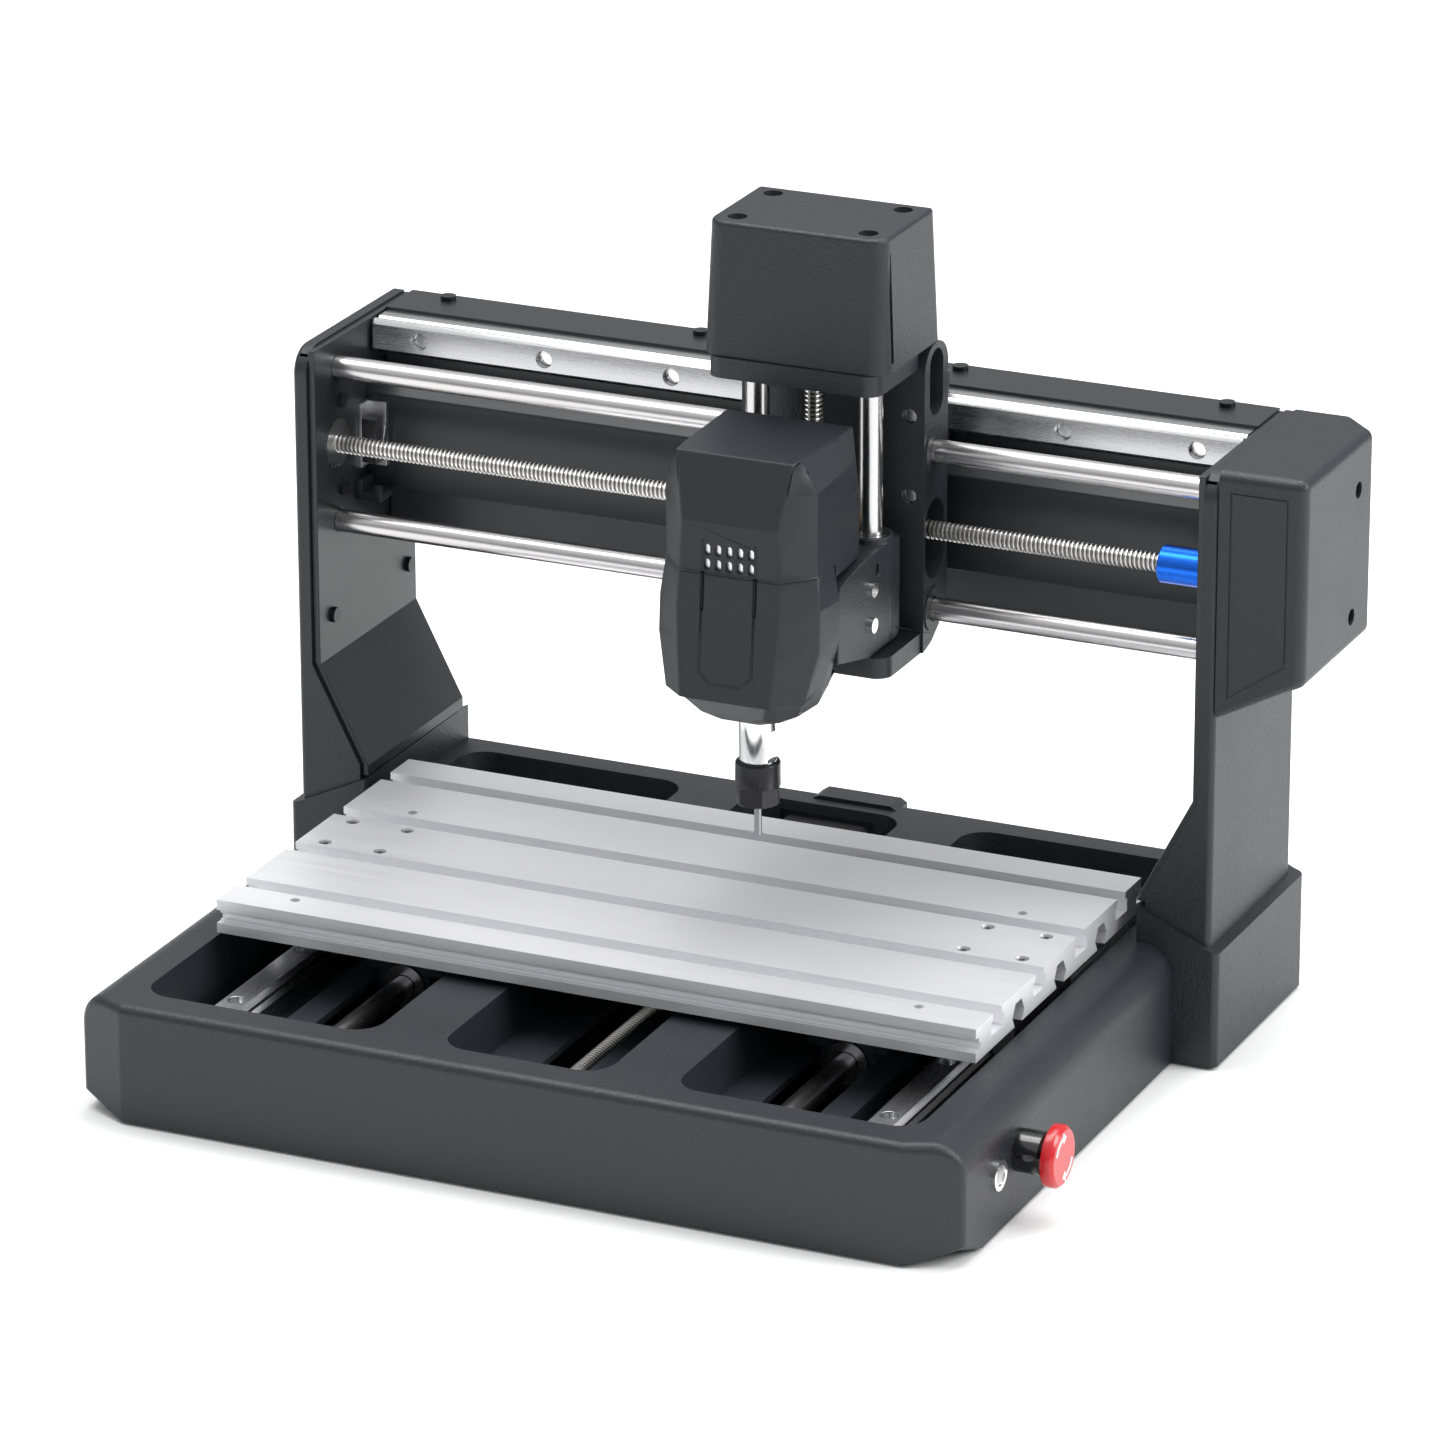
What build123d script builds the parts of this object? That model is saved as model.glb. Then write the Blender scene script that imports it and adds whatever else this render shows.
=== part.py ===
from build123d import *
import os
from math import radians, tan

os.makedirs("parts", exist_ok=True)

# Desktop CNC router: moulded base with a T-slot table that slides front to back (Y), a fixed gantry whose
# carriage slides left to right (X), and a spindle carriage that slides up and down (Z).
# While modelling, X = 0 is the table's centre line, Y = 0 its front edge at rest and Z = 0 the underside of
# the base shell. Lengths are in millimetres.

# ---- overall sizes ----
clear_width = 404.6  # between the inner faces of the two leg shells
table_depth = 180.0
front_reach = 81.3  # base ahead of the table's front edge
rear_reach = 76.0  # base behind the table's rear edge
rim_height = 51.5
table_top = 69.0
table_thickness = 14.7
gantry_height = 259.0
wall = 3.0  # moulded shells
thin_wall = 1.7  # covers that stand close over a motor
slide_gap = 0.3  # between curved faces of bodies that move past each other
bore_gap = 0.05  # a shaft or pin in its hole
foot_proud = 1.5  # rubber feet below the base shell

# ---- bought-in parts ----
rod_radius = 5.0
screw_radius = 4.0
screw_core = 3.0  # turned end of a lead screw
bearing_radius = 9.5  # linear bearing for the rods
bearing_length = 29.0
rail_height = 15.0
rail_hole_pitch = 60.0
block_width = 34.0  # rail slide block
block_length = 61.4
motor_side = 42.0
motor_length = 38.0
motor_shaft = 2.5
coupler_radius = 8.0
coupler_length = 19.5
button_head = 3.4  # black button-head screws
button_height = 2.0

# ---- base, from the clear width inwards ----
leg_in = clear_width / 2
leg_out = leg_in + 9.7
foot_out = leg_out + 4.4
foot_in = leg_in - 22.3
base_half = leg_in - 5.3
table_length = 2 * (foot_in - 8.5)
trough_out = base_half - 24.0
rail_x = trough_out - 26.1
rod_x = rail_x - 45.9
trough_in = rod_x - 34.0
screw_trough = 37.0
low_floor_in = rail_x - 19.9
trough_floor = 32.0
rail_floor = 24.4
rod_z = 29.5
y_screw_z = 24.0
rod_slot = 13.0
screw_slot = 10.3
y_motor_front = table_depth + 26.0
y_coupler_front = y_motor_front - 23.0
base_front = -front_reach
base_rear = table_depth + rear_reach
trough_front = base_front + 16.3
trough_rear = base_rear - 12.0
facet_run = 22.5  # plan chamfer at the front corners, along X
facet_depth = 9.5  # and along Y
side_round = 14.0

# ---- gantry ----
leg_front = table_depth - 24.5
leg_rear = table_depth + 74.0
foot_front = leg_front - 2.0
plate_thickness = 3.0
flare_top = 116.0  # the leg is slim above this height and flares inwards below it
flare_low = 72.5
seam_in = 67.3  # height of the seam between foot and leg at its inner end
seam_out = 52.4
x_axis_y = table_depth - 1.5  # X rods and X screw
x_screw_z = 210.5
rod_rise = 34.9  # X rods above and below the screw
beam_front = table_depth + 45.3
beam_rear = table_depth + 72.0
duct_front = table_depth + 26.0
duct_low = 183.5
duct_top = 229.4
beam_low = 157.0
x_rail_z = 250.0

# ---- X and Z carriages, at their place along the gantry ----
carriage_x = 35.0
carriage_half = 41.5
carriage_front = x_axis_y - 10.5
carriage_rear = x_axis_y + 14.5
shelf_low = 159.0
shelf_top = 168.0
yoke_low = 283.6
yoke_top = 292.4
yoke_front = table_depth - 55.7
z_axis_y = table_depth - 31.2
z_rod_x = 25.7
housing_top = 350.0
spindle_y = table_depth - 88.5
spindle_radius = 21.0
z_block_low = 169.8
z_block_top = 214.0
z_block_half = 35.0
z_block_rear = z_axis_y + 9.5
collar_top = 216.6
nose_radius = 8.0  # straight spindle shaft below the cover
nut_radius = 9.5  # collet nut
nut_low = 112.9
nut_top = 131.8
tip_z = 98.5
tool_radius = 1.5875

mid_x = (leg_out + 38.0 - foot_out) / 2
hump_rear = base_rear + 6.0
mid_y = (base_front + hump_rear) / 2
to_origin = Location((-mid_x, -mid_y, foot_proud))


def save(piece, name):
    """Moves a finished piece from the modelling position to the row frame, labels it and writes it."""
    placed = piece.part.moved(to_origin)
    placed.label = name
    export_step(placed, f"parts/{name}.step")


def block(x0, x1, y0, y1, z0, z1, mode=Mode.ADD):
    """Adds or cuts a box given by its limits."""
    with Locations(((x0 + x1) / 2, (y0 + y1) / 2, (z0 + z1) / 2)):
        Box(abs(x1 - x0), abs(y1 - y0), abs(z1 - z0), mode=mode)


def round_x(x0, x1, y, z, radius, mode=Mode.ADD):
    """Adds or cuts a round bar along X."""
    with Locations(Location(((x0 + x1) / 2, y, z), (0, 90, 0))):
        Cylinder(radius, abs(x1 - x0), mode=mode)


def round_y(x, y0, y1, z, radius, mode=Mode.ADD):
    """Adds or cuts a round bar along Y."""
    with Locations(Location((x, (y0 + y1) / 2, z), (90, 0, 0))):
        Cylinder(radius, abs(y1 - y0), mode=mode)


def round_z(x, y, z0, z1, radius, mode=Mode.ADD):
    """Adds or cuts a round bar along Z."""
    with Locations((x, y, (z0 + z1) / 2)):
        Cylinder(radius, abs(z1 - z0), mode=mode)


def outline(*points, mode=Mode.ADD):
    """Adds or cuts a closed polygon in the open sketch."""
    Polygon(*points, align=None, mode=mode)


# ---------------------------------------------------------------- base
def base_plan(inset):
    """The base's plan between the feet: front face, corner facets and straight sides."""
    half = base_half - inset
    front = base_front + inset
    facet = facet_run - inset * 0.6
    outline(
        (-half, base_rear - inset),
        (-half, front + facet_depth),
        (-half + facet, front),
        (half - facet, front),
        (half, front + facet_depth),
        (half, base_rear - inset),
    )


def foot_front_view(inset, side):
    """The foot seen from the front: its top slopes down and outwards along the seam with the leg."""
    outline(
        (side * (foot_in + inset), 0),
        (side * (foot_out - inset), 0),
        (side * (foot_out - inset), seam_out - 1.4 - inset),
        (side * (leg_out - inset), seam_out - inset),
        (side * (foot_in + inset), seam_in - inset),
    )


def pocket(x0, x1, y0, y1, floor, top, radius, slope):
    """Cuts a pocket with rounded corners and walls that lean out by the slope, in degrees, up to the limits."""
    lean = (top - floor) * tan(radians(slope))
    with BuildSketch(Plane.XY.offset(floor)) as level:
        with Locations(((x0 + x1) / 2, (y0 + y1) / 2)):
            RectangleRounded(abs(x1 - x0) - 2 * lean, y1 - y0 - 2 * lean, radius)
    extrude(level.sketch, amount=top - floor + 0.01, taper=-slope, mode=Mode.SUBTRACT)


with BuildPart() as base_shell:
    with BuildSketch():
        base_plan(0)
    extrude(amount=rim_height)
    # soft shoulder along both sides
    for side in (-1, 1):
        with BuildSketch(Plane.XZ.offset(-base_front + 5)):
            with Locations((side * (base_half - side_round / 2 + 0.5), rim_height - side_round / 2 + 0.5)):
                Rectangle(side_round + 1, side_round + 1)
            with Locations((side * (base_half - side_round), rim_height - side_round)):
                Circle(side_round, mode=Mode.SUBTRACT)
        extrude(amount=-(base_rear - base_front + 10), mode=Mode.SUBTRACT)
    front_edges = [
        edge
        for edge in base_shell.edges()
        if edge.center().Y < base_front + facet_depth + 0.5 and edge.center().Z > 0.5
    ]
    fillet(front_edges, radius=4.0)
    # the front corners are undercut towards the floor
    for side in (-1, 1):
        low = [(side * (base_half - facet_run), base_front - 0.5), (side * (base_half + 6), base_front - 0.5)]
        with BuildSketch(Plane.XY.offset(-0.01)):
            outline(*low, (side * (base_half + 6), base_front + 36.0))
        with BuildSketch(Plane.XY.offset(14.5)):
            outline(
                (side * (base_half + 5.0), base_front - 0.5),
                (side * (base_half + 6), base_front - 0.5),
                (side * (base_half + 6), base_front + 3.0),
            )
        loft(ruled=True, mode=Mode.SUBTRACT)
    # feet under the legs
    for side in (-1, 1):
        with BuildSketch(Plane.XZ.offset(-foot_front)):
            foot_front_view(0, side)
        extrude(amount=-(base_rear - foot_front))
    foot_edges = base_shell.edges().filter_by(Axis.Z).filter_by(lambda e: abs(e.center().X) > leg_out)
    fillet(foot_edges, radius=3.0)
    # open underside
    with BuildSketch():
        base_plan(wall)
    extrude(amount=rim_height - side_round, mode=Mode.SUBTRACT)
    for side in (-1, 1):
        with BuildSketch(Plane.XZ.offset(-foot_front - wall)):
            foot_front_view(wall, side)
        extrude(amount=-(base_rear - foot_front - 2 * wall), mode=Mode.SUBTRACT)
    # the front corners keep their wall above the undercut
    for side in (-1, 1):
        with BuildSketch(Plane.XY.offset(-0.01)):
            outline(
                (side * (base_half - facet_run - 8), base_front + 3.2),
                (side * (base_half - facet_run), base_front + 0.2),
                (side * (base_half - 0.2), base_front + 34.0),
                (side * (base_half - 3.2), base_front + 40.0),
            )
        with BuildSketch(Plane.XY.offset(16.0)):
            outline(
                (side * (base_half - facet_run - 8), base_front + 3.2),
                (side * (base_half - facet_run + 2), base_front + 3.2),
                (side * (base_half - 3.2), base_front + 12.0),
                (side * (base_half - 3.2), base_front + 40.0),
            )
        loft(ruled=True)
    # troughs under the table: two wide ones and one for the screw
    for side in (-1, 1):
        block(
            side * (trough_in - wall),
            side * (trough_out + wall),
            trough_front - wall,
            trough_rear + wall,
            rail_floor - 2 * wall,
            rim_height - wall,
        )
    block(
        -screw_trough - wall,
        screw_trough + wall,
        trough_front - wall,
        trough_rear + wall,
        trough_floor - wall,
        rim_height - wall,
    )
    for side in (-1, 1):
        pocket(
            side * trough_in, side * trough_out, trough_front, trough_rear, trough_floor, rim_height, 9.0, 10.0
        )
        block(
            side * low_floor_in,
            side * (trough_out - 3.4),
            trough_front + 4.0,
            trough_rear - 4.0,
            rail_floor,
            trough_floor + 1,
            Mode.SUBTRACT,
        )
        block(
            side * (trough_in - wall),
            side * (low_floor_in - wall),
            trough_front - wall,
            trough_rear + wall,
            rail_floor - 2 * wall,
            trough_floor - wall,
            Mode.SUBTRACT,
        )
        block(
            side * (rod_x - rod_slot),
            side * (rod_x + rod_slot),
            trough_front + 4.0,
            trough_rear - 4.0,
            0,
            trough_floor + 1,
            Mode.SUBTRACT,
        )
        for i in range(5):
            y = trough_front + 34.6 + rail_hole_pitch * i
            hole_low = rail_floor - 2 * wall - 1
            round_z(side * rail_x, y, hole_low, rail_floor + 1, 2.0 + bore_gap, Mode.SUBTRACT)
        # end walls for the Y rods reach down below the rods
        for y0, y1 in ((trough_front - wall, trough_front + 4.0), (trough_rear - 4.0, trough_rear + wall)):
            block(
                side * (rod_x - rod_slot - wall),
                side * (rod_x + rod_slot + wall),
                y0,
                y1,
                rod_z - 12,
                trough_floor,
            )
            round_y(side * rod_x, y0 - 1, y1 + 1, rod_z, rod_radius + bore_gap, Mode.SUBTRACT)
    pocket(-screw_trough, screw_trough, trough_front, trough_rear, trough_floor, rim_height, 9.0, 10.0)
    block(
        -screw_slot,
        screw_slot,
        trough_front,
        trough_rear - 4.0,
        0,
        trough_floor + 1,
        Mode.SUBTRACT,
    )
    # the Y motor looks through the floor of the middle trough
    block(
        -motor_side / 2 - 1,
        motor_side / 2 + 1,
        y_motor_front - 2.5,
        trough_rear,
        0,
        rim_height - 4.5,
        Mode.SUBTRACT,
    )
    # front wall that carries the screw's end bearing
    block(-17, 17, trough_front - wall, trough_front, y_screw_z - 15, trough_floor)
    round_y(0, trough_front - wall - 1, trough_front + 1, y_screw_z, 11.05, Mode.SUBTRACT)
    # raised hump in the middle of the rear rim
    with BuildSketch(Plane.XZ.offset(-(base_rear - 6.0))):
        outline(
            (-10, 20),
            (30, 20),
            (30, rim_height),
            (27, rim_height + 1.8),
            (-7, rim_height + 1.8),
            (-10, rim_height),
        )
    extrude(amount=-(hump_rear - base_rear + 6.0))
    # openings for the stop button, the home button and the rear ports
    round_x(base_half - 2 * wall, base_half + 1, -14.3, 27.0, 8.0 + bore_gap, Mode.SUBTRACT)
    round_x(base_half - 2 * wall, base_half + 1, -38.0, 25.5, 6.0 + bore_gap, Mode.SUBTRACT)
    block(-119.4, -105.6, base_rear - 2 * wall, base_rear + 1, 5.6, 24.4, Mode.SUBTRACT)
    round_y(-84.0, base_rear - 2 * wall, base_rear + 1, 15.0, 5.5 + bore_gap, Mode.SUBTRACT)
    block(-64.1, -51.9, base_rear - 2 * wall, base_rear + 1, 9.4, 20.6, Mode.SUBTRACT)
save(base_shell, "base_shell")

with BuildPart() as base_plate:
    with BuildSketch(Plane.XY.offset(0.5)):
        base_plan(wall + 0.6)
    extrude(amount=1.8)
    for side in (-1, 1):
        corner_rear = base_rear - wall - 0.6
        block(side * (base_half - 4), side * (foot_out - wall - 0.6), foot_front + wall + 0.6, corner_rear, 0.5, 2.3)
        with BuildSketch():
            outline(
                (side * (base_half - facet_run - 12), base_front),
                (side * base_half, base_front),
                (side * base_half, base_front + 44.0),
                (side * (base_half - 8), base_front + 44.0),
            )
        extrude(amount=3.0, mode=Mode.SUBTRACT)
save(base_plate, "base_plate")

foot_spots = [(-155, base_front + 25), (155, base_front + 25), (-190, base_rear - 25), (190, base_rear - 25)]
with BuildPart() as rubber_feet:
    for x, y in foot_spots:
        round_z(x, y, -foot_proud, 0.5, 9.0)
save(rubber_feet, "rubber_feet")

# ---------------------------------------------------------------- Y axis in the base
with BuildPart() as y_rails:
    for side in (-1, 1):
        with BuildSketch(Plane.XZ.offset(-trough_front - 5.0)):
            outline(
                (side * rail_x - 7.5, rail_floor),
                (side * rail_x + 7.5, rail_floor),
                (side * rail_x + 7.5, rail_floor + 8.2),
                (side * rail_x + 5.7, rail_floor + 10.0),
                (side * rail_x + 7.5, rail_floor + 11.8),
                (side * rail_x + 7.5, rail_floor + 13.0),
                (side * rail_x + 5.5, rail_floor + rail_height),
                (side * rail_x - 5.5, rail_floor + rail_height),
                (side * rail_x - 7.5, rail_floor + 13.0),
                (side * rail_x - 7.5, rail_floor + 11.8),
                (side * rail_x - 5.7, rail_floor + 10.0),
                (side * rail_x - 7.5, rail_floor + 8.2),
            )
        extrude(amount=-(trough_rear - trough_front - 10.0))
        for i in range(5):
            y = trough_front + 34.6 + rail_hole_pitch * i
            round_z(side * rail_x, y, rail_floor + 9.0, rail_floor + rail_height + 1, 3.75, Mode.SUBTRACT)
            round_z(side * rail_x, y, rail_floor - 1, rail_floor + 9.5, 2.25, Mode.SUBTRACT)
save(y_rails, "y_rails")

with BuildPart() as y_rods:
    for side in (-1, 1):
        round_y(side * rod_x, trough_front - wall - 6, trough_rear + wall + 6, rod_z, rod_radius)
save(y_rods, "y_rods")

with BuildPart() as y_lead_screw:
    round_y(0, trough_front - wall - 3, trough_front + 0.4, y_screw_z, screw_core)
    round_y(0, trough_front + 0.4, y_coupler_front + 8.8, y_screw_z, screw_radius)
save(y_lead_screw, "y_lead_screw")

with BuildPart() as y_coupler:
    round_y(0, y_coupler_front, y_coupler_front + coupler_length, y_screw_z, coupler_radius)
    chamfer(y_coupler.edges(), length=0.6)
    round_y(0, y_coupler_front - 1, y_coupler_front + 9, y_screw_z, screw_radius, Mode.SUBTRACT)
    round_y(0, y_coupler_front + 9, y_coupler_front + 21, y_screw_z, motor_shaft + bore_gap, Mode.SUBTRACT)
save(y_coupler, "y_coupler")

# ---------------------------------------------------------------- table
table_low = table_top - table_thickness
slot_mouth = 9.0
slot_width = 13.0
slot_lip = 3.2
slot_floor = table_top - 9.0
slot_lines = [22.5 + 45.0 * i for i in range(4)]
table_mid = table_depth / 2
block_pattern = 13.0
slide_spots = [
    (side * rail_x + dx, table_mid + dy)
    for side in (-1, 1)
    for dx in (-block_pattern, block_pattern)
    for dy in (-block_pattern, block_pattern)
]
front_bearing = 32.0
bearing_starts = (front_bearing, table_depth - front_bearing - bearing_length)
clamp_holes = [(s * 141.2, 12.8) for s in (-1, 1)] + [(s * 141.2, 122.8) for s in (-1, 1)]
with BuildPart() as bed_table:
    with BuildSketch(Plane.YZ.offset(-table_length / 2)):
        with Locations((table_mid, table_top - table_thickness / 2)):
            Rectangle(table_depth, table_thickness)
        for y in slot_lines:
            with Locations((y, table_top)):
                Rectangle(slot_mouth, 2 * slot_lip + 0.1, mode=Mode.SUBTRACT)
            with Locations((y, (table_top - slot_lip + slot_floor) / 2)):
                Rectangle(slot_width, table_top - slot_lip - slot_floor, mode=Mode.SUBTRACT)
        for y, inward in ((0, 1), (table_depth, -1)):
            with Locations((y + inward * 1.6, table_top - 7.5)):
                Rectangle(3.2, 5.8, mode=Mode.SUBTRACT)
            with Locations((y + inward * 4.0, table_top - 8.5)):
                Rectangle(2.4, 3.0, mode=Mode.SUBTRACT)
        for y in (45.0, 90.0, 135.0):
            with Locations((y, table_low + 1.2)):
                Rectangle(8.0, 2.5, mode=Mode.SUBTRACT)
            with Locations((y, table_low + 4.4)):
                RegularPolygon(6.4, 6, mode=Mode.SUBTRACT)
    extrude(amount=table_length)
    for x, y in slide_spots:
        round_z(x, y, table_top - 3.4, table_top + 1, 2.8 + 0.1, Mode.SUBTRACT)
        round_z(x, y, table_low - 1, table_top - 3, 1.5 + bore_gap, Mode.SUBTRACT)
    for x, y in clamp_holes:
        round_z(x, y, table_low - 1, table_top + 1, 2.1, Mode.SUBTRACT)
save(bed_table, "bed_table")

with BuildPart() as table_screws:
    for x, y in slide_spots:
        round_z(x, y, table_top - 3.4, table_top - 0.6, 2.8)
        round_z(x, y, table_low - 6, table_top - 3.4, 1.5)
        with Locations((x, y, table_top - 0.6)):
            Hole(1.1, depth=1.6)
save(table_screws, "table_screws")

block_low = rail_floor + 4.3
with BuildPart() as y_rail_blocks:
    for side in (-1, 1):
        x = side * rail_x
        block_front = table_mid - block_length / 2
        block(x - block_width / 2, x + block_width / 2, block_front, block_front + block_length, block_low, table_low)
        channel = 7.5 + slide_gap
        channel_top = rail_floor + rail_height + slide_gap
        block(x - channel, x + channel, table_mid - 40, table_mid + 40, block_low - 1, channel_top, Mode.SUBTRACT)
    for x, y in slide_spots:
        round_z(x, y, table_low - 6.5, table_low + 1, 1.5 + bore_gap, Mode.SUBTRACT)
save(y_rail_blocks, "y_rail_blocks")

nut_y = table_mid - 10.0
nut_body = 5.1
nut_flange = 9.0
with BuildPart() as table_blocks:
    for side in (-1, 1):
        for y in bearing_starts:
            x = side * rod_x
            block(x - 18, x + 18, y + 1, y + bearing_length - 1, trough_floor + 3, table_low)
            round_y(x, y + 1, y + bearing_length - 1, rod_z, bearing_radius + 3)
            round_y(x, y, y + bearing_length, rod_z, bearing_radius, Mode.SUBTRACT)
    block(-16, 16, nut_y - 7, nut_y + 7, trough_floor + 3, table_low)
    block(-9.4, 9.4, nut_y - 7, nut_y + 7, y_screw_z - 8, trough_floor + 3)
    round_y(0, nut_y - 8, nut_y + 8, y_screw_z, nut_body, Mode.SUBTRACT)
save(table_blocks, "table_blocks")

with BuildPart() as y_bearings:
    for side in (-1, 1):
        for y in bearing_starts:
            round_y(side * rod_x, y, y + bearing_length, rod_z, bearing_radius)
            round_y(side * rod_x, y - 1, y + bearing_length + 1, rod_z, rod_radius + slide_gap, Mode.SUBTRACT)
save(y_bearings, "y_bearings")

with BuildPart() as y_nut:
    round_y(0, nut_y - 10.5, nut_y - 7, y_screw_z, nut_flange)
    round_y(0, nut_y - 7, nut_y + 9, y_screw_z, nut_body)
    round_y(0, nut_y - 12, nut_y + 12, y_screw_z, screw_radius + slide_gap, Mode.SUBTRACT)
save(y_nut, "y_nut")

# ---------------------------------------------------------------- stop and home buttons
stop_y = -14.3
stop_z = 27.0
with BuildPart() as estop_collar:
    round_x(base_half, base_half + 10.6, stop_y, stop_z, 9.0)
    round_x(base_half - 9, base_half, stop_y, stop_z, 8.0)
    round_x(base_half - 10, base_half + 12, stop_y, stop_z, 5.5, Mode.SUBTRACT)
    block(base_half - 9, base_half - 6, stop_y - 10, stop_y + 10, stop_z - 10, stop_z + 10)
save(estop_collar, "estop_collar")

estop_face = base_half + 19.0
with BuildPart() as estop_plunger:
    round_x(base_half - 3.0, base_half + 9.5, stop_y, stop_z, 5.5 - bore_gap)
    round_x(base_half + 9.5, base_half + 15.0, stop_y, stop_z, 2.5)
save(estop_plunger, "estop_plunger")

with BuildPart() as estop_head:
    round_x(base_half + 13.5, estop_face, stop_y, stop_z, 13.0)
    chamfer(estop_head.edges().filter_by(GeomType.CIRCLE).sort_by(Axis.X)[-1], length=1.6)
    round_x(base_half + 10, base_half + 15.0, stop_y, stop_z, 2.5 + bore_gap, Mode.SUBTRACT)
save(estop_head, "estop_head")

home_y = -38.0
home_z = 25.5
with BuildPart() as home_bezel:
    round_x(base_half, base_half + 1.6, home_y, home_z, 6.4)
    round_x(base_half - 8, base_half, home_y, home_z, 6.0)
    round_x(base_half - 9, base_half + 3, home_y, home_z, 4.4, Mode.SUBTRACT)
    block(base_half - 8, base_half - 6, home_y - 6.4, home_y + 6.4, home_z - 6.4, home_z + 6.4)
save(home_bezel, "home_bezel")

with BuildPart() as home_button:
    round_x(base_half - 4.6, base_half + 1.2, home_y, home_z, 4.4 - bore_gap)
save(home_button, "home_button")

# ---------------------------------------------------------------- rear ports and electronics
with BuildPart() as rear_ports:
    round_y(-84, base_rear - 9, base_rear + 1.0, 15, 5.5)
    round_y(-84, base_rear - 3 - 4, base_rear + 2.0, 15, 3.6, Mode.SUBTRACT)
    round_y(-84, base_rear - 8, base_rear - 0.5, 15, 1.0)
    block(-64, -52, base_rear - 12, base_rear + 0.6, 9.5, 20.5)
    block(-62.6, -53.4, base_rear - 9, base_rear + 2, 10.8, 19.2, Mode.SUBTRACT)
save(rear_ports, "rear_ports")

with BuildPart() as power_switch_frame:
    block(-121.5, -103.5, base_rear, base_rear + 1.2, 3.5, 26.5)
    block(-119.3, -105.7, base_rear - 8.5, base_rear + 0.5, 5.7, 24.3)
    block(-117.5, -107.5, base_rear - 9, base_rear + 2, 7.5, 22.5, Mode.SUBTRACT)
save(power_switch_frame, "power_switch_frame")

with BuildPart() as power_rocker:
    with BuildSketch(Plane.YZ.offset(-117.2)):
        outline(
            (base_rear - 3.5, 8.6),
            (base_rear + 2.4, 8.3),
            (base_rear + 0.6, 15.0),
            (base_rear + 2.4, 21.7),
            (base_rear - 3.5, 21.4),
        )
    extrude(amount=9.4)
save(power_rocker, "power_rocker")

with BuildPart() as control_board:
    block(-125, -45, base_rear - 90, base_rear - 12.3, 5.6, 7.2)
    block(-120, -108, base_rear - 80, base_rear - 68, 7.2, 14)
    block(-95, -75, base_rear - 70, base_rear - 50, 7.2, 10)
    for x in (-122, -48):
        for y in (base_rear - 87, base_rear - 16):
            round_z(x, y, 2.3, 5.6, 3.0)
save(control_board, "control_board")

# ---------------------------------------------------------------- legs
plate_in = leg_in
shell_in = leg_in + plate_thickness


def leg_profile(side, inner, outer, low_in, low_out, top, mode=Mode.ADD):
    """The leg seen from the front: slim at the top, flaring inwards to the foot."""
    shift = inner - leg_in
    outline(
        (side * inner, top),
        (side * inner, flare_top),
        (side * (foot_in + shift), flare_low),
        (side * (foot_in + shift), low_in),
        (side * outer, low_out),
        (side * outer, top),
        mode=mode,
    )


for side, word in ((-1, "left"), (1, "right")):
    with BuildPart() as leg_shell:
        with BuildSketch(Plane.XZ.offset(-leg_front)):
            leg_profile(side, shell_in, leg_out, seam_in - 1.32, seam_out, gantry_height)
        extrude(amount=-(leg_rear - 4 - leg_front))
        fillet(leg_shell.edges().filter_by(Axis.X).group_by(Axis.Y)[0].sort_by(Axis.Z)[-1], radius=12.0)
        outer = [
            edge
            for edge in leg_shell.edges()
            if abs(abs(edge.center().X) - leg_out) < 0.1 and edge.center().Z > seam_out + 1
        ]
        fillet(outer, radius=2.5)
        with BuildSketch(Plane.XZ.offset(-leg_front - 3)):
            leg_profile(side, shell_in - 4, leg_out - 2.2, seam_in + 3.2, seam_out + 2.6, gantry_height - 3)
        extrude(amount=-(leg_rear - 10 - leg_front), mode=Mode.SUBTRACT)
        if side > 0:
            half = 21.5
            low = x_screw_z - half
            block(shell_in - 1, leg_out + 1, x_axis_y - half, x_axis_y + half, low, low + 2 * half, Mode.SUBTRACT)
    save(leg_shell, f"leg_shell_{word}")

with BuildPart() as leg_plates:
    for side in (-1, 1):
        with BuildSketch(Plane.XZ.offset(-leg_front - 2)):
            leg_profile(side, plate_in, shell_in, seam_in + 0.2, seam_in - 1.12, gantry_height - 1)
            beyond = gantry_height + 60
            leg_profile(side, shell_in, leg_out + 60, seam_in - 30, seam_out - 60, beyond, Mode.SUBTRACT)
        extrude(amount=-(leg_rear - 3 - leg_front - 2))
        for z in (x_screw_z - rod_rise, x_screw_z + rod_rise):
            bore = rod_radius + bore_gap
            round_x(side * (leg_in - 5), side * (leg_in + 12), x_axis_y, z, bore, Mode.SUBTRACT)
        round_x(side * (leg_in - 5), side * (leg_in + 12), x_axis_y, x_screw_z, 11.0, Mode.SUBTRACT)
save(leg_plates, "leg_plates")

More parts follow.
